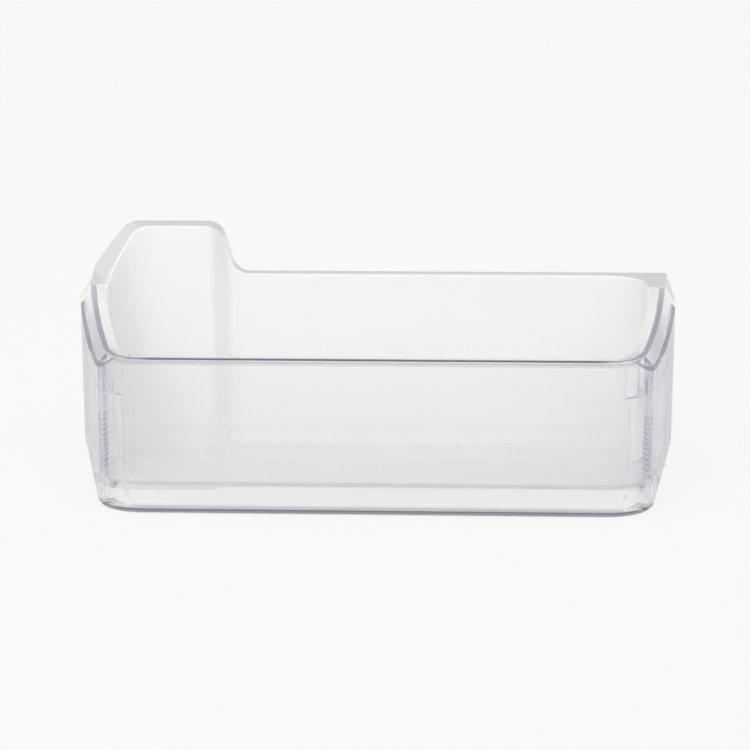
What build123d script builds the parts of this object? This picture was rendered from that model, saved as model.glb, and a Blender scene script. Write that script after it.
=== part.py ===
import os
from math import atan2, cos, hypot, radians, sin, sqrt, tan

from build123d import *

# Door shelf of a refrigerator: a clear front guard seated on a white rear tray.
# X runs along the shelf, Y from the front towards the door, Z up. The origin is
# in the middle of the footprint, on the surface that the shelf stands on.

# Overall size
shelf_width = 377.0
shelf_depth = 114.0
rim_height = 134.5  # flange round the back and the sides of the tray
corner_height = 167.5  # raised rear left corner
guard_height = 98.5  # front rim of the guard
guard_reach = 57.0  # from the front face back to the seam with the tray

# Walls and clearances
guard_wall = 3.0
tray_wall = 2.5
seat_gap = 0.3  # between the edge of the tray's floor and the guard

# Plan of the guard
flare_angle = 23.0  # of its sides, from straight back
guard_corner = 32.0  # outside radius of its front corners
rim_corner = 18.0  # the same of its rim, which turns more sharply

# Rim of the guard: a lip turned in all round, level in front and curving up at the sides
lip_width = 5.8
lip_thickness = 2.6
side_rise = 31.0  # length over which the side rim climbs to the flange
climb_angle = 78.0  # of the side rim where it meets the flange

# Sides of the guard: the rim leaves the wall behind each front corner and runs inside it
# on a web of its own. The wall's top slopes out and down from it, with a slot between
# them that is open above and below and closed in front by an upright post.
rim_stand = 6.8  # from the outside of the wall to the outside of the rim, along the shelf
rim_web = 24.0  # depth of the web under the rim
wall_sink = 1.2  # of the wall's top below the rim, where they meet
shoulder_drop = 9.0  # of the wall's outer edge below the rim
post_reach = 37.0  # from the seam forward
post_thickness = 2.4

# Slanted ribs down the back of each post
rib_count = 11
rib_pitch = 3.3
rib_start = 25.5  # height of the lowest
rib_tilt = 35.0
rib_thickness = 1.2
rib_depth = 1.0

# Arms of the tray that run forward under the lip
arm_thickness = 2.0

# Foot of the guard and the cutaway under its sides
foot_width = 9.0
foot_thickness = 3.0
foot_round = 2.0
cutaway_reach = 34.0  # from the seam forward, along the bottom
cutaway_height = 34.5  # at the seam

# Floor of the tray, which reaches to the guard's wall
floor_top = 20.5
floor_thickness = 3.0
floor_fillet = 9.0
lap = 3.0  # of the floor's upstands behind the cutaway edge of the guard

# Sides and back of the tray
channel_width = 17.8  # from the outside of the shelf to the inside of the bin
back_setback = 12.5  # from the flange's rear edge to the inside of the back wall
bin_radius = 26.0  # of the bin's rear corners, as far as the left side wall has room for it
corner_lead = 5.0  # least straight side wall between the seam and the left corner
side_wall_bottom = 40.5
rim_round = 1.0

# Raised rear left corner
step_foot = 90.0  # from the left side of the shelf to the foot of the step
step_run = 9.5  # slant of the step, along the shelf
step_depth = 12.5  # the raised wall stands this far in front of the back wall
step_round = 6.0
fall_foot = 94.5  # from the left side to where the falling rim meets the flange
fall_run = 10.0
fall_round = 12.0
slope_angle = 52.0  # of the left shoulder, seen from the front
slope_start = 4.0  # height of its foot above the flange, at the rear
slope_round = 15.0

# Places that follow from the sizes
half_width = shelf_width / 2
front_y = -shelf_depth / 2
rear_y = shelf_depth / 2
seam_y = front_y + guard_reach
back_y = rear_y - back_setback
bin_x = half_width - channel_width
bin_corner = min(bin_radius, back_y - step_depth - seam_y - corner_lead)
rim_x = half_width - rim_stand
floor_bottom = floor_top - floor_thickness
flare = tan(radians(flare_angle))
cutaway_rise = cutaway_height / cutaway_reach
past = 10.0  # how far a cutter reaches past what it cuts
root = 0.6  # how far a form reaches into the one that carries it

# Arc of the side rim, from the level front rim to the flange
rim_gain = rim_height - guard_height
climb_turn = radians(climb_angle) - atan2(rim_gain, side_rise)
climb_radius = hypot(rim_gain, side_rise) / (2 * sin(climb_turn))
climb_y = seam_y - climb_radius * sin(radians(climb_angle))
climb_z = rim_height + climb_radius * cos(radians(climb_angle))


# Plan of the guard's wall, or of its rim, set in and closed along a rear line
def guard_plan(inset, rear, height, outer_x=half_width, corner=guard_corner):
    seam_x = outer_x - inset / cos(radians(flare_angle))
    rear_x = seam_x + (rear - seam_y) * flare
    front_x = seam_x + (front_y + inset - seam_y) * flare
    with BuildSketch(Plane.XY.offset(height)) as plan:
        with BuildLine():
            Polyline(
                (-rear_x, rear),
                (-front_x, front_y + inset),
                (front_x, front_y + inset),
                (rear_x, rear),
                close=True,
            )
        make_face()
        fillet(plan.vertices().group_by(Axis.Y)[0], corner - inset)
    return plan.sketch


def rim_plan(inset, rear, height):
    return guard_plan(inset, rear, height, rim_x, rim_corner)


# Side view of all that lies below the guard's rim, or below an offset of it. With a
# lean it meets the outside of the rim at that height, when it slopes out and down
def rim_view(depth, lean=0.0):
    radius = climb_radius + depth
    level = guard_height - depth
    start_y = climb_y + sqrt(radius**2 - (climb_z - level) ** 2)

    def leaned(y, z):
        return (y, z + lean * (rim_x + (y - seam_y) * flare))

    def on_arc(y):
        return leaned(y, climb_z - sqrt(radius**2 - (y - climb_y) ** 2))

    with BuildSketch(Plane.YZ) as view:
        with BuildLine():
            ThreePointArc(on_arc(start_y), on_arc((start_y + seam_y) / 2), on_arc(seam_y))
            Polyline(
                on_arc(seam_y),
                (seam_y + past, on_arc(seam_y)[1]),
                (seam_y + past, -past),
                (front_y - past, -past),
                leaned(front_y - past, level),
                on_arc(start_y),
            )
        make_face()
    return view.sketch


# Flat that trims one side's outer rim, full size at the seam and gone at the rear
def rim_flat(side, inset):
    across = Vector(-side * rim_stand, 0, shoulder_drop)
    along = Vector(0, rear_y - seam_y, shoulder_drop)
    normal = (along.cross(across) * side).normalized()
    foot = Vector(side * half_width, seam_y, rim_height - shoulder_drop)
    return Plane(foot - normal * inset, z_dir=normal)


# Left shoulder of the raised corner: it climbs inwards, and from the seam to the rear
def shoulder_slope(inset):
    climb = tan(radians(slope_angle))
    across = Vector(1, 0, climb)
    along = Vector(0, rear_y - seam_y, slope_start + climb * channel_width)
    normal = across.cross(along).normalized()
    foot = Vector(-half_width, rear_y, rim_height + slope_start)
    return Plane(foot - normal * inset, z_dir=normal)


# Outer body of the tray, set in all round: a level rim and the raised corner
def tray_block(inset, rear):
    fall_low = fall_foot - half_width
    with BuildPart() as corner:
        with BuildSketch(Plane.XZ.offset(-rear)) as front_view:
            with BuildLine():
                Polyline(
                    (-half_width, -past),
                    (-half_width, corner_height),
                    (fall_low - fall_run, corner_height),
                    (fall_low, rim_height),
                    (fall_low + 2 * fall_round, rim_height),
                    (fall_low + 2 * fall_round, -past),
                    close=True,
                )
            make_face()
            for bend in ((fall_low - fall_run, corner_height), (fall_low, rim_height)):
                fillet(front_view.vertices().sort_by_distance(bend)[0], fall_round)
            offset(amount=-inset, kind=Kind.INTERSECTION, mode=Mode.REPLACE)
        extrude(amount=rear - seam_y - inset)
        split(bisect_by=shoulder_slope(inset), keep=Keep.BOTTOM)
        top_edges = corner.faces().sort_by(Axis.Z)[-1].edges()
        fillet(top_edges.sort_by(Axis.X)[0], slope_round - inset)
    with BuildPart() as block:
        with BuildSketch(Plane.XY.offset(-past)):
            with BuildLine():
                Polyline(
                    (inset - half_width, seam_y + inset),
                    (half_width - inset, seam_y + inset),
                    (half_width - inset, rear),
                    (inset - half_width, rear),
                    close=True,
                )
            make_face()
        extrude(amount=rim_height - inset + past)
        split(bisect_by=rim_flat(1, inset), keep=Keep.BOTTOM)
        split(bisect_by=rim_flat(-1, inset), keep=Keep.BOTTOM)
        add(corner.part)
    return block.part


# Plan of the bin inside the tray, open to the front past the seam
def bin_plan(height, outset=0):
    step_x = step_foot - half_width
    with BuildSketch(Plane.XY.offset(height)) as plan:
        with BuildLine():
            Polyline(
                (-bin_x, seam_y - past),
                (bin_x, seam_y - past),
                (bin_x, back_y),
                (step_x, back_y),
                (step_x - step_run, back_y - step_depth),
                (-bin_x, back_y - step_depth),
                close=True,
            )
        make_face()
        for corner in ((bin_x, back_y), (-bin_x, back_y - step_depth)):
            fillet(plan.vertices().sort_by_distance(corner)[0], bin_corner)
        for corner in ((step_x, back_y), (step_x - step_run, back_y - step_depth)):
            fillet(plan.vertices().sort_by_distance(corner)[0], step_round)
        offset(amount=outset, mode=Mode.REPLACE)
    return plan.sketch


# Front guard: the right half of its wall, with the post and its ribs
space_rear = seam_y + past
wall_lean = (shoulder_drop - wall_sink) / rim_stand
wall_slope = Vector(1, 0, -wall_lean)
post_back = seam_y - post_reach + post_thickness
post_left = rim_x + (post_back - seam_y) * flare
post_width = rim_stand - guard_wall / cos(radians(flare_angle))
rib_length = post_width / cos(radians(rib_tilt))
with BuildPart() as guard_half:
    extrude(guard_plan(0, seam_y, 0), amount=rim_height)
    foot_edges = guard_half.edges().group_by(Axis.Z)[0]
    fillet(foot_edges.sort_by(Axis.Y)[:-1], foot_round)
    extrude(guard_plan(guard_wall, space_rear, foot_thickness), amount=rim_height, mode=Mode.SUBTRACT)
    extrude(guard_plan(foot_width, space_rear, 0), amount=foot_thickness, mode=Mode.SUBTRACT)
    split(bisect_by=Plane.YZ)
    with BuildSketch(Plane.XZ.offset(-post_back)):
        with BuildLine():
            Polyline(
                (post_left, floor_top + seat_gap),
                (post_left + post_width + root, floor_top + seat_gap),
                (post_left + post_width + root, rim_height),
                (post_left, rim_height),
                close=True,
            )
        make_face()
    extrude(amount=post_thickness)
    extrude(rim_view(wall_sink), amount=shelf_width, both=True, mode=Mode.INTERSECT)
    top_view = rim_view(wall_sink, wall_lean)
    extrude(top_view, amount=wall_slope.length * shelf_width, dir=wall_slope, mode=Mode.INTERSECT)
    with BuildSketch(Plane.XZ.offset(-post_back)):
        with Locations((post_left + post_width / 2, rib_start + rib_pitch * (rib_count - 1) / 2)):
            with GridLocations(rib_length, rib_pitch, 1, rib_count):
                Rectangle(rib_length, rib_thickness, rotation=-rib_tilt)
    extrude(amount=-rib_depth)

# Front guard: its rim, with the web below it and the lip that it turns in
with BuildPart() as lip_space:
    extrude(rim_plan(guard_wall, space_rear, floor_top), amount=rim_height)
    extrude(rim_view(lip_thickness), amount=shelf_width, both=True, mode=Mode.INTERSECT)
with BuildPart() as guard_rim:
    extrude(rim_plan(0, seam_y, floor_top), amount=rim_height)
    extrude(rim_view(0), amount=shelf_width, both=True, mode=Mode.INTERSECT)
    extrude(rim_view(rim_web), amount=shelf_width, both=True, mode=Mode.SUBTRACT)
    add(lip_space.part, mode=Mode.SUBTRACT)
    mouth = rim_plan(guard_wall + lip_width, space_rear, floor_top)
    extrude(mouth, amount=rim_height, mode=Mode.SUBTRACT)

with BuildPart() as front_guard:
    add(guard_half.part)
    mirror(about=Plane.YZ)
    add(guard_rim.part)
    with BuildSketch(Plane.YZ):
        with BuildLine():
            Polyline(
                (seam_y - cutaway_reach, 0),
                (seam_y, cutaway_height),
                (seam_y + past, cutaway_height),
                (seam_y + past, 0),
                close=True,
            )
        make_face()
    extrude(amount=shelf_width, both=True, mode=Mode.SUBTRACT)
front_guard.part.label = "front_guard"

# Rear tray: the bin sunk into the outer body, its floor blended into the walls
with BuildPart() as bin_space:
    extrude(bin_plan(floor_top), amount=corner_height)
    floor_edges = bin_space.edges().group_by(Axis.Z)[0]
    fillet(floor_edges.sort_by(Axis.Y)[1:], floor_fillet)
bin_outline = bin_plan(0).face().outer_wire()


# Whether an edge of the tray runs along the mouth of the bin
def at_mouth(edge):
    middle = edge.position_at(0.5)
    level = middle.Z > rim_height - rim_round
    upright = abs(edge.tangent_at(0.5).Z) > 1 - 1e-6
    return level and not upright and bin_outline.distance_to(Vertex(middle.X, middle.Y, 0)) < 1e-3


with BuildPart() as tray_body:
    add(tray_block(0, rear_y))
    add(bin_space.part, mode=Mode.SUBTRACT)
    extrude(bin_plan(-past), amount=floor_bottom + past, mode=Mode.SUBTRACT)
    fillet(tray_body.edges().filter_by(at_mouth), rim_round)
with BuildPart() as bin_walls:
    extrude(bin_plan(0, tray_wall), amount=corner_height)
    add(tray_body.part, mode=Mode.INTERSECT)

# Rear tray: upstands that close the floor's rear corners behind the cutaways
upstand_start = seam_y - cutaway_reach + floor_bottom / cutaway_rise
with BuildPart() as upstands:
    extrude(guard_plan(guard_wall + seat_gap, seam_y + tray_wall, floor_bottom), amount=rim_height)
    corner_space = guard_plan(guard_wall + seat_gap + tray_wall, seam_y, floor_bottom)
    extrude(corner_space, amount=rim_height, mode=Mode.SUBTRACT)
    extrude(bin_plan(floor_bottom), amount=rim_height, mode=Mode.SUBTRACT)
    with BuildSketch(Plane.YZ):
        with BuildLine():
            Polyline(
                (upstand_start, floor_bottom),
                (upstand_start, floor_top + lap),
                (seam_y, cutaway_height + lap),
                (seam_y + tray_wall, cutaway_height + lap),
                (seam_y + tray_wall, floor_bottom),
                close=True,
            )
        make_face()
    extrude(amount=shelf_width, both=True, mode=Mode.INTERSECT)

# Rear tray: arms that follow the side rims of the guard, under its lip
arm_depth = lip_thickness + seat_gap
with BuildPart() as arms:
    extrude(rim_plan(guard_wall + seat_gap, seam_y + root, floor_top), amount=rim_height)
    extrude(rim_view(arm_depth), amount=shelf_width, both=True, mode=Mode.INTERSECT)
    arm_under = rim_view(arm_depth + arm_thickness)
    extrude(arm_under, amount=shelf_width, both=True, mode=Mode.SUBTRACT)
    extrude(mouth, amount=rim_height, mode=Mode.SUBTRACT)
    split(bisect_by=Plane.XZ.offset(side_rise - seam_y), keep=Keep.BOTTOM)

with BuildPart() as rear_tray:
    add(tray_body.part)
    add(tray_block(tray_wall, rear_y + past), mode=Mode.SUBTRACT)
    with BuildSketch(Plane.YZ):
        with BuildLine():
            Polyline(
                (seam_y - past, -2 * past),
                (seam_y - past, cutaway_height - cutaway_rise * past),
                (seam_y + (side_wall_bottom - cutaway_height) / cutaway_rise, side_wall_bottom),
                (rear_y + past, side_wall_bottom),
                (rear_y + past, -2 * past),
                close=True,
            )
        make_face()
    extrude(amount=shelf_width, both=True, mode=Mode.SUBTRACT)
    add(bin_walls.part)
    extrude(guard_plan(guard_wall + seat_gap, seam_y, floor_bottom), amount=floor_thickness)
    add(upstands.part)
    add(arms.part)
rear_tray.part.label = "rear_tray"

os.makedirs("parts", exist_ok=True)
export_step(front_guard.part, "parts/front_guard.step")
export_step(rear_tray.part, "parts/rear_tray.step")
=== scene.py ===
from math import cos, radians, sin, tan

import bmesh
import bpy
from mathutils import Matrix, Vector


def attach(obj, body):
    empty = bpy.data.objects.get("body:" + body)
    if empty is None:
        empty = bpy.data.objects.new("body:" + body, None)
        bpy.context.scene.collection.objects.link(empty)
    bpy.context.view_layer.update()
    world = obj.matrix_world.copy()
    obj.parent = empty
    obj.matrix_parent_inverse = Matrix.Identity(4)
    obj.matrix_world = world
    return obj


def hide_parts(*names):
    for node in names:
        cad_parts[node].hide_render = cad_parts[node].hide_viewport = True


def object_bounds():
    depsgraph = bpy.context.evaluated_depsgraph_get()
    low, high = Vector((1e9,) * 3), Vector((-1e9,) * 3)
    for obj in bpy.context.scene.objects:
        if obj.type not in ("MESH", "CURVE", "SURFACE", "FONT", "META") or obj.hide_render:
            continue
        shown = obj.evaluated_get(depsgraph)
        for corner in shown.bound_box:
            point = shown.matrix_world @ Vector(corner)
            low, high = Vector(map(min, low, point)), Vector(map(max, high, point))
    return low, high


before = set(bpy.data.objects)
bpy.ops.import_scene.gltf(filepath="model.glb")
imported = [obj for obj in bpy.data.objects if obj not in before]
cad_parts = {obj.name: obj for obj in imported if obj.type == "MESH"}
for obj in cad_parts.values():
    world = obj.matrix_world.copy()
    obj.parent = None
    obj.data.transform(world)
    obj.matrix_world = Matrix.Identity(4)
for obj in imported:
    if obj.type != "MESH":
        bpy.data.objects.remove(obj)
cadLow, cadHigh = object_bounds()
scene = bpy.context.scene
scene.view_settings.view_transform = "Standard"
bounces = 32  # enough for light to pass every wall of the guard
scene.cycles.max_bounces = bounces
scene.cycles.transmission_bounces = bounces
print("frame loaded:", sorted(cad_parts))


# A socket of a material, so that shader maths reads as ordinary sums
class Wire:
    def __init__(self, tree, socket):
        self.tree = tree
        self.socket = socket

    def maths(self, operation, first, second):
        return addNode(self.tree, "ShaderNodeMath", {"operation": operation}, {0: first, 1: second})

    def __add__(self, other):
        return self.maths("ADD", self, other)

    def __radd__(self, other):
        return self.maths("ADD", other, self)

    def __sub__(self, other):
        return self.maths("SUBTRACT", self, other)

    def __rsub__(self, other):
        return self.maths("SUBTRACT", other, self)

    def __mul__(self, other):
        return self.maths("MULTIPLY", self, other)

    def __rmul__(self, other):
        return self.maths("MULTIPLY", other, self)


# Any node: its settings first, then its sockets, and one output back
def addNode(tree, kind, settings=None, inputs=None, output=0):
    node = tree.nodes.new(kind)
    for name, value in (settings or {}).items():
        setattr(node, name, value)
    for name, value in (inputs or {}).items():
        if isinstance(value, Wire):
            tree.links.new(value.socket, node.inputs[name])
        else:
            node.inputs[name].default_value = value
    return Wire(tree, node.outputs[output]) if node.outputs else None


def newMaterial(name):
    material = bpy.data.materials.new(name)
    material.use_nodes = True
    material.node_tree.nodes.clear()
    return material, material.node_tree


def greater(first, second):
    return first.maths("MAXIMUM", first, second)


def unsigned(value):
    return value.maths("ABSOLUTE", value, 0.0)


# From nought to one between two values, and from one to nought
def rise(value, low, high):
    return addNode(
        value.tree, "ShaderNodeMapRange", {"interpolation_type": "SMOOTHSTEP"},
        {"Value": value, "From Min": low, "From Max": high},
    )


def fall(value, low, high):
    return 1.0 - rise(value, low, high)


def apart(tree, vector):
    axes = tree.nodes.new("ShaderNodeSeparateXYZ")
    tree.links.new(vector.socket, axes.inputs[0])
    return [Wire(tree, axis) for axis in axes.outputs]


def mixColour(tree, factor, first, second):
    return addNode(
        tree, "ShaderNodeMix", {"data_type": "RGBA"}, {0: factor, 6: first, 7: second}, output=2
    )


def noise(tree, place, scale, detail, roughness):
    return addNode(
        tree, "ShaderNodeTexNoise", None,
        {"Vector": place, "Scale": scale, "Detail": detail, "Roughness": roughness},
    )


def relief(tree, height, strength, distance):
    return addNode(
        tree, "ShaderNodeBump", None,
        {"Strength": strength, "Distance": distance, "Height": height},
    )


# How steep a face is when it stops being an upright one, as the upward part of its normal
uprightFace = (0.4, 0.6)

# White plastic: faint flow clouds in the colour, a soft gloss, a slight orange peel, and painted
# shade that greys the front edge of the floor
trayFinishAndShade = {
    "colour": (0.935, 0.935, 0.93, 1),
    "flowColour": (0.91, 0.913, 0.913, 1),
    "flowScale": 9.0,
    "edgeShadeColour": (0.72, 0.72, 0.735, 1),
    "edgeZ": (0.0173, 0.0204),
    "edgeY": (-0.012, -0.008),
    "edgeSoft": 0.0002,
    "milkAndPaintedSheen": 0.4,
    "milkDepth": 0.008,
    "ior": 1.53,
    "roughness": 0.24,
    "roughnessSpread": 0.08,
    "hazeScale": 54.0,
    "peelScale": 520.0,
    "peelHeight": 0.00002,
    "peelStrength": 0.35,
}


def whitePlastic():
    material, tree = newMaterial("whitePlastic")
    place = addNode(tree, "ShaderNodeTexCoord", output="Object")
    flow = noise(tree, place, trayFinishAndShade["flowScale"], 3.0, 0.5)
    haze = noise(tree, place, trayFinishAndShade["hazeScale"], 4.0, 0.6)
    peel = noise(tree, place, trayFinishAndShade["peelScale"], 1.0, 0.4)
    skin = relief(tree, peel, trayFinishAndShade["peelStrength"], trayFinishAndShade["peelHeight"])
    y, z = apart(tree, place)[1:]
    faceZ = apart(tree, addNode(tree, "ShaderNodeNewGeometry", output="Normal"))[2]
    low, high = trayFinishAndShade["edgeZ"]
    soft = trayFinishAndShade["edgeSoft"]
    # Painted shade: the upright faces of the floor's front edge are greyed, for the shade where it
    # meets the guard
    floorEdgeShade = fall(unsigned(faceZ), *uprightFace) * rise(z, low, low + soft)
    floorEdgeShade = floorEdgeShade * fall(z, high, high + soft) * fall(y, *trayFinishAndShade["edgeY"])
    colour = mixColour(tree, flow, trayFinishAndShade["colour"], trayFinishAndShade["flowColour"])
    surface = addNode(
        tree, "ShaderNodeBsdfPrincipled", None,
        {
            "Base Color": mixColour(tree, floorEdgeShade, colour, trayFinishAndShade["edgeShadeColour"]),
            "Roughness": trayFinishAndShade["roughness"] + (haze - 0.5) * trayFinishAndShade["roughnessSpread"],
            "IOR": trayFinishAndShade["ior"],
            "Subsurface Weight": trayFinishAndShade["milkAndPaintedSheen"],
            "Subsurface Radius": (1.0, 1.0, 1.0),
            "Subsurface Scale": trayFinishAndShade["milkDepth"],
            "Normal": skin,
        },
    )
    addNode(tree, "ShaderNodeOutputMaterial", None, {"Surface": surface})
    return material


# Clear plastic: polished, hardly tinted through a wall, with a violet absorption inside, and
# painted shade: dark violet bands and lines along its edges and darker sides
guardFinishAndShade = {
    "tint": (0.985, 0.982, 1.0, 1),
    "side": (0.91, 0.895, 0.945, 1),
    "wing": (0.80, 0.775, 0.87, 1),
    "post": (0.66, 0.63, 0.755, 1),
    "rib": (0.10, 0.08, 0.16, 1),
    "lipFront": (0.64, 0.64, 0.67, 1),
    "foot": (0.34, 0.32, 0.40, 1),
    "footLine": (0.12, 0.11, 0.14, 1),
    "band": (0.36, 0.335, 0.425, 1),
    "frontLine": (0.03, 0.03, 0.04, 1),
    "edgeTint": (0.60, 0.54, 0.75, 1),
    "edgeDensity": 14.0,
    "body": 0.3,  # alpha of a plain wall
    "sideGain": 0.2,
    "webLoss": 0.9,
    "lipFrontShare": 0.9,
    "milkAndPaintedSheen": (0.90, 0.90, 0.90, 1),
    "sheenShare": 0.5,
    "sheenRoughness": 0.2,
    "sheenIor": 1.53,
    "ior": 1.57,
    "roughness": 0.02,
    "roughnessSpread": 0.02,
    "bandRoughness": 0.35,
    "hazeScale": 45.0,
    "waveScale": 30.0,
    "waveHeight": 0.00003,
    "waveStrength": 0.3,
}

# Where its edges lie, from the sizes of the guard; a pair is where a painted shade or mask starts
# and is full
guardPlaces = {
    "wallX": 0.1885,
    "wallCorner": 0.032,
    "rimX": 0.1817,
    "rimCorner": 0.018,
    "frontY": -0.057,
    "flare": 23.0,
    "wall": 0.003,
    "rimZ": 0.0985,
    "topFace": (0.07, 0.14),
    "topZ": (0.070, 0.075),
    "wallLine": 0.0018,
    "lip": 0.004,
    "lipY": (-0.046, -0.040),
    "lipFrontY": (-0.052, -0.040),
    "lineDepth": 0.0008,
    "lineX": (0.135, 0.158),
    "lineY": (-0.052, -0.050),
    "webZ": (0.070, 0.072),
    "flange": 0.009,
    "footZ": 0.003,
    "postFront": -0.037,
    "postRear": -0.0346,
    "postX": (0.150, 0.152),
    "ribRear": -0.0334,
    "ribTop": (0.064, 0.066),
    "wingZ": (0.02, 0.055),
    "wingX": (0.160, 0.172),
    "sideX": (0.158, 0.175),
}


# How far in from an outline with flared sides and round front corners a point lies
def insetFrom(out, y, sideX, corner):
    slant = radians(guardPlaces["flare"])
    centreY = guardPlaces["frontY"] + corner
    centreX = sideX + centreY * tan(slant) - corner / cos(slant)
    along = y - centreY
    across = out - centreX
    ahead = greater(across, 0.0)
    span = ahead * ahead + along * along
    rounded = corner - span.maths("SQRT", span, 0.0)
    beside = (sideX + y * tan(slant) - out) * cos(slant)
    behind = rise(across * sin(slant) + along * cos(slant), -0.00001, 0.00001)
    return rounded + (beside - rounded) * behind


# The small numbers here are how softly a painted shade or mask ends at an edge, in metres
def clearPlastic():
    material, tree = newMaterial("clearPlastic")
    place = addNode(tree, "ShaderNodeTexCoord", output="Object")
    x, y, z = apart(tree, place)
    faceZ = apart(tree, addNode(tree, "ShaderNodeNewGeometry", output="Normal"))[2]
    out = unsigned(x)
    rimInset = insetFrom(out, y, guardPlaces["rimX"], guardPlaces["rimCorner"])
    wallInset = insetFrom(out, y, guardPlaces["wallX"], guardPlaces["wallCorner"])
    wall = guardPlaces["wall"]
    rimZ = guardPlaces["rimZ"]

    # Top of the rim: a painted dark violet band, shade where light is piped away along the rim,
    # without the top of the wall and the lip
    onTop = rise(faceZ, *guardPlaces["topFace"]) * rise(z, *guardPlaces["topZ"])
    past = rise(rimInset, wall, wall + 0.0006)
    onLip = onTop * past * rise(y, *guardPlaces["lipY"])
    wallLine = guardPlaces["wallLine"]
    onWall = rise(wallInset, wallLine, wallLine + 0.0004)
    onWall = onWall * fall(wallInset, wall - 0.0002, wall + 0.0001)
    onWall = onWall * fall(rimInset, -0.0012, -0.0006)
    band = onTop * (1.0 - past) * (1.0 - onWall)

    # Front of the rim: a painted dark line along its top edge and painted grey on the lip's
    # thickness below it, both shade where light is piped into the wall
    ahead = fall(out, *guardPlaces["lineX"]) * fall(y, *guardPlaces["lineY"])
    outside = fall(wallInset, 0.0004, 0.0006)
    lineLow = rimZ - guardPlaces["lineDepth"]
    overLine = rise(z, lineLow - 0.0001, lineLow + 0.0001)
    topLine = onTop * fall(wallInset, 0.0016, 0.0022)
    frontLine = ahead * greater(topLine, overLine * outside)
    lipLow = rimZ - guardPlaces["lip"]
    lipFront = rise(z, lipLow - 0.0001, lipLow + 0.0001) * (1.0 - overLine) * outside
    lipFront = lipFront * fall(y, *guardPlaces["lipFrontY"])

    # Web under the rim at the sides, which is made faint
    web = rise(rimInset, -0.0003, -0.0001) * fall(rimInset, wall + 0.0001, wall + 0.0003)
    web = web * rise(wallInset, wall - 0.0002, wall + 0.0002)
    web = web * rise(wallInset - rimInset, 0.0004, 0.0010)
    web = web * (1.0 - onTop) * rise(z, *guardPlaces["webZ"])

    # Foot, painted dark violet as shade where light is piped down into it against the floor, with a
    # painted dark line along its upper edges
    footZ = guardPlaces["footZ"]
    foot = fall(z, footZ, footZ + 0.0003) * fall(unsigned(faceZ), *uprightFace)
    footTop = rise(z, footZ - 0.0006, footZ - 0.0004) * fall(z, footZ + 0.0003, footZ + 0.0005)
    flange = guardPlaces["flange"]
    footLine = footTop * greater(outside, rise(wallInset, flange - 0.0012, flange - 0.0010))

    # Posts with their ribs, and the sides with their lower ends, painted darker and more violet as
    # shade seen through the clear wall at a slant
    postFront = guardPlaces["postFront"]
    postRear = guardPlaces["postRear"]
    ribRear = guardPlaces["ribRear"]
    atPost = rise(out, *guardPlaces["postX"])
    post = rise(y, postFront - 0.0004, postFront - 0.0001)
    post = post * fall(y, postRear + 0.0004, postRear + 0.0008) * atPost
    rib = rise(y, postRear + 0.0001, postRear + 0.0002) * fall(y, ribRear, ribRear + 0.0001)
    rib = rib * rise(wallInset, wall + 0.0001, wall + 0.0002) * atPost
    rib = rib * fall(z, *guardPlaces["ribTop"])
    wing = fall(z, *guardPlaces["wingZ"]) * rise(out, *guardPlaces["wingX"])
    side = rise(out, *guardPlaces["sideX"])

    # Each painted shade lies over the one before it, and all but the sides' hide what is behind
    paintedShades = {
        "side": side, "wing": wing, "post": post, "rib": rib, "lipFront": lipFront,
        "foot": foot, "footLine": footLine, "band": band, "frontLine": frontLine,
    }
    colour = guardFinishAndShade["tint"]
    for name, mask in paintedShades.items():
        colour = mixColour(tree, mask, colour, guardFinishAndShade[name])
    marks = post
    for mark in (rib, lipFront * guardFinishAndShade["lipFrontShare"], foot, footLine, band, frontLine):
        marks = greater(marks, mark)
    solid = guardFinishAndShade["body"] + side * guardFinishAndShade["sideGain"]
    solid = solid * (1.0 - web * guardFinishAndShade["webLoss"])

    haze = noise(tree, place, guardFinishAndShade["hazeScale"], 4.0, 0.6)
    wave = noise(tree, place, guardFinishAndShade["waveScale"], 1.0, 0.3)
    polish = guardFinishAndShade["roughness"] + haze * guardFinishAndShade["roughnessSpread"]
    clear = addNode(
        tree, "ShaderNodeBsdfPrincipled", None,
        {
            "Base Color": colour,
            "Roughness": polish + band * guardFinishAndShade["bandRoughness"],
            "IOR": guardFinishAndShade["ior"],
            "Transmission Weight": 1.0,
            "Alpha": solid + marks * (1.0 - solid),
            "Normal": relief(tree, wave, guardFinishAndShade["waveStrength"], guardFinishAndShade["waveHeight"]),
        },
    )
    # Painted highlight: the lip's top on the sides is half mixed with a white opaque shader, for
    # the bright strip along it
    paintedLipSheen = addNode(
        tree, "ShaderNodeBsdfPrincipled", None,
        {
            "Base Color": guardFinishAndShade["milkAndPaintedSheen"],
            "Roughness": guardFinishAndShade["sheenRoughness"],
            "IOR": guardFinishAndShade["sheenIor"],
        },
    )
    surface = addNode(
        tree, "ShaderNodeMixShader", None,
        {0: onLip * guardFinishAndShade["sheenShare"], 1: clear, 2: paintedLipSheen},
    )
    inside = addNode(
        tree, "ShaderNodeVolumeAbsorption", None,
        {"Color": guardFinishAndShade["edgeTint"], "Density": guardFinishAndShade["edgeDensity"]},
    )
    addNode(tree, "ShaderNodeOutputMaterial", None, {"Surface": surface, "Volume": inside})
    return material


# Only a sharp edge between two faces that are wide enough is broken
def weighEdges(piece, edge):
    shape = bmesh.new()
    shape.from_mesh(piece.data)
    weight = shape.edges.layers.float.new("bevel_weight_edge")
    for line in shape.edges:
        widths = [2 * face.calc_area() / face.calc_perimeter() for face in line.link_faces]
        sharp = line.calc_face_angle(0) > radians(edge["angle"])
        line[weight] = 1.0 if sharp and min(widths) > edge["leastFace"] else 0.0
    shape.to_mesh(piece.data)
    shape.free()


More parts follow.
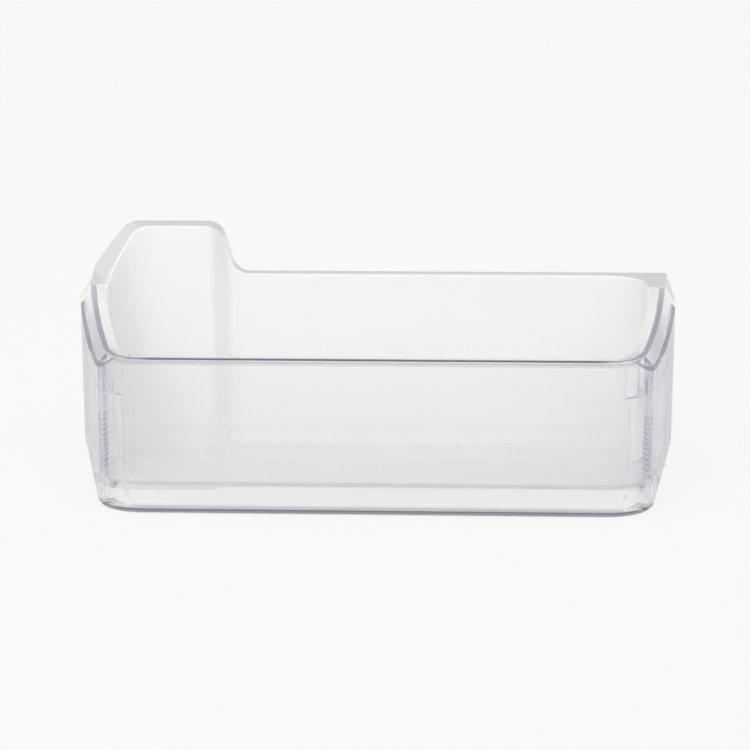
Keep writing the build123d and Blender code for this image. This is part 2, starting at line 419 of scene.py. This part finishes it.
# A moulding is a copy of its solid, merged, its flats made whole and its edges broken
def mouldFrom(nodeName, pieceName, edge, finish):
    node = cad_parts[nodeName]
    piece = bpy.data.objects.new(pieceName, node.data.copy())
    scene.collection.objects.link(piece)
    bpy.ops.object.select_all(action="DESELECT")
    piece.select_set(True)
    bpy.context.view_layer.objects.active = piece
    bpy.ops.mesh.customdata_custom_splitnormals_clear()
    bpy.ops.object.mode_set(mode="EDIT")
    bpy.ops.mesh.select_all(action="SELECT")
    bpy.ops.mesh.remove_doubles(threshold=edge["merge"])
    bpy.ops.mesh.dissolve_limited(angle_limit=radians(edge["flat"]))
    bpy.ops.transform.resize(value=(1, edge["shrink"], 1), center_override=(0, cadLow[1], 0))
    bpy.ops.object.mode_set(mode="OBJECT")
    weighEdges(piece, edge)
    bevel = piece.modifiers.new("brokenEdges", "BEVEL")
    bevel.width = edge["width"]
    bevel.segments = edge["segments"]
    bevel.limit_method = "WEIGHT"
    bevel.use_clamp_overlap = False
    bpy.ops.object.modifier_apply(modifier=bevel.name)
    bpy.ops.object.shade_smooth_by_angle(angle=radians(edge["smooth"]))
    weighted = piece.modifiers.new("flatFaces", "WEIGHTED_NORMAL")
    weighted.keep_sharp = True
    bpy.ops.object.modifier_apply(modifier=weighted.name)
    piece.data.materials.clear()
    piece.data.materials.append(finish)
    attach(piece, "root")
    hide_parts(nodeName)
    print(pieceName, "moulded,", len(piece.data.polygons), "faces")
    return piece


trayEdge = {
    "merge": 1e-5,
    "flat": 0.4,
    "shrink": 1.0,
    "width": 0.0004,
    "segments": 2,
    "angle": 40,
    "smooth": 38,
    "leastFace": 0.0005,
}
tray = mouldFrom("rear_tray", "tray", trayEdge, whitePlastic())

guardEdge = {
    "merge": 1e-5,
    "flat": 0.4,
    "shrink": 0.998,  # in depth, so that a little air lies at the seam
    "width": 0.0004,
    "segments": 2,
    "angle": 40,
    "smooth": 38,
    "leastFace": 0.0011,
}
guard = mouldFrom("front_guard", "guard", guardEdge, clearPlastic())


# Camera, fitted to the edges of the shelf in the photograph
view = {
    "place": (0.0437, -1.2199, 0.3454),
    "aim": (0.0, 0.0, 0.0815),
    "lens": 93.98,
    "sensor": 36.0,
    "shift": (-0.00187, -0.00973),
}
cameraData = bpy.data.cameras.new("camera")
cameraData.lens = view["lens"]
cameraData.sensor_width = view["sensor"]
cameraData.shift_x, cameraData.shift_y = view["shift"]
camera = bpy.data.objects.new("camera", cameraData)
camera.location = view["place"]
aim = Vector(view["aim"]) - Vector(view["place"])
camera.rotation_euler = aim.to_track_quat("-Z", "Y").to_euler()
scene.collection.objects.link(camera)
scene.camera = camera


# Pale floor: near white where it is looked at, with a part of it left to show the shadow
studio = {
    "floorSize": 60.0,
    "floorColour": (0.88, 0.88, 0.87, 1),
    "backColour": (1.0, 1.0, 0.98, 1),
    "backStrength": 1.0,
    "backShare": 0.8,
    "throughShare": 0.5,
}
bpy.ops.object.select_all(action="DESELECT")
bpy.ops.mesh.primitive_plane_add(size=studio["floorSize"])
floor = bpy.context.active_object
floor.name = "floor"
floorMaterial, floorTree = newMaterial("paleFloor")
path = floorTree.nodes.new("ShaderNodeLightPath")
seen = Wire(floorTree, path.outputs["Is Camera Ray"])
glossy = Wire(floorTree, path.outputs["Is Glossy Ray"])
through = Wire(floorTree, path.outputs["Is Transmission Ray"])
share = greater(seen, glossy) * studio["backShare"]
share = greater(share, through * studio["throughShare"])
matt = addNode(floorTree, "ShaderNodeBsdfDiffuse", None, {"Color": studio["floorColour"]})
glow = addNode(
    floorTree, "ShaderNodeEmission", None,
    {"Color": studio["backColour"], "Strength": studio["backStrength"]},
)
both = addNode(floorTree, "ShaderNodeMixShader", None, {0: share, 1: matt, 2: glow})
addNode(floorTree, "ShaderNodeOutputMaterial", None, {"Surface": both})
floor.data.materials.append(floorMaterial)


# Soft studio round the shelf: brightest in front, less from above, least from behind
surround = {
    "colour": (1.0, 1.0, 0.99, 1),
    "level": 0.895,
    "front": 0.465,
    "left": 0.02,
    "up": -0.18,
    "least": 0.45,
}
world = bpy.data.worlds.new("surround")
scene.world = world
world.use_nodes = True
skyTree = world.node_tree
skyTree.nodes.clear()
towards = addNode(skyTree, "ShaderNodeTexCoord", output="Generated")
right, rear, up = apart(skyTree, towards)
strength = surround["level"] - rear * surround["front"] - right * surround["left"]
strength = greater(strength + up * surround["up"], surround["least"])
sky = addNode(
    skyTree, "ShaderNodeBackground", None,
    {"Color": surround["colour"], "Strength": strength},
)
addNode(skyTree, "ShaderNodeOutputWorld", None, {"Surface": sky})


# One soft box from the front left and above, for the shadow's side
keyLamp = {
    "place": (-0.75, -1.25, 1.15),
    "aim": (0, 0, 0.07),
    "size": 0.5,
    "power": 3.6,
}
light = bpy.data.lights.new("key", "AREA")
light.shape = "SQUARE"
light.size = keyLamp["size"]
light.energy = keyLamp["power"]
softBox = bpy.data.objects.new("key", light)
softBox.location = keyLamp["place"]
lampAim = Vector(keyLamp["aim"]) - softBox.location
softBox.rotation_euler = lampAim.to_track_quat("-Z", "Y").to_euler()
scene.collection.objects.link(softBox)
print("studio set")
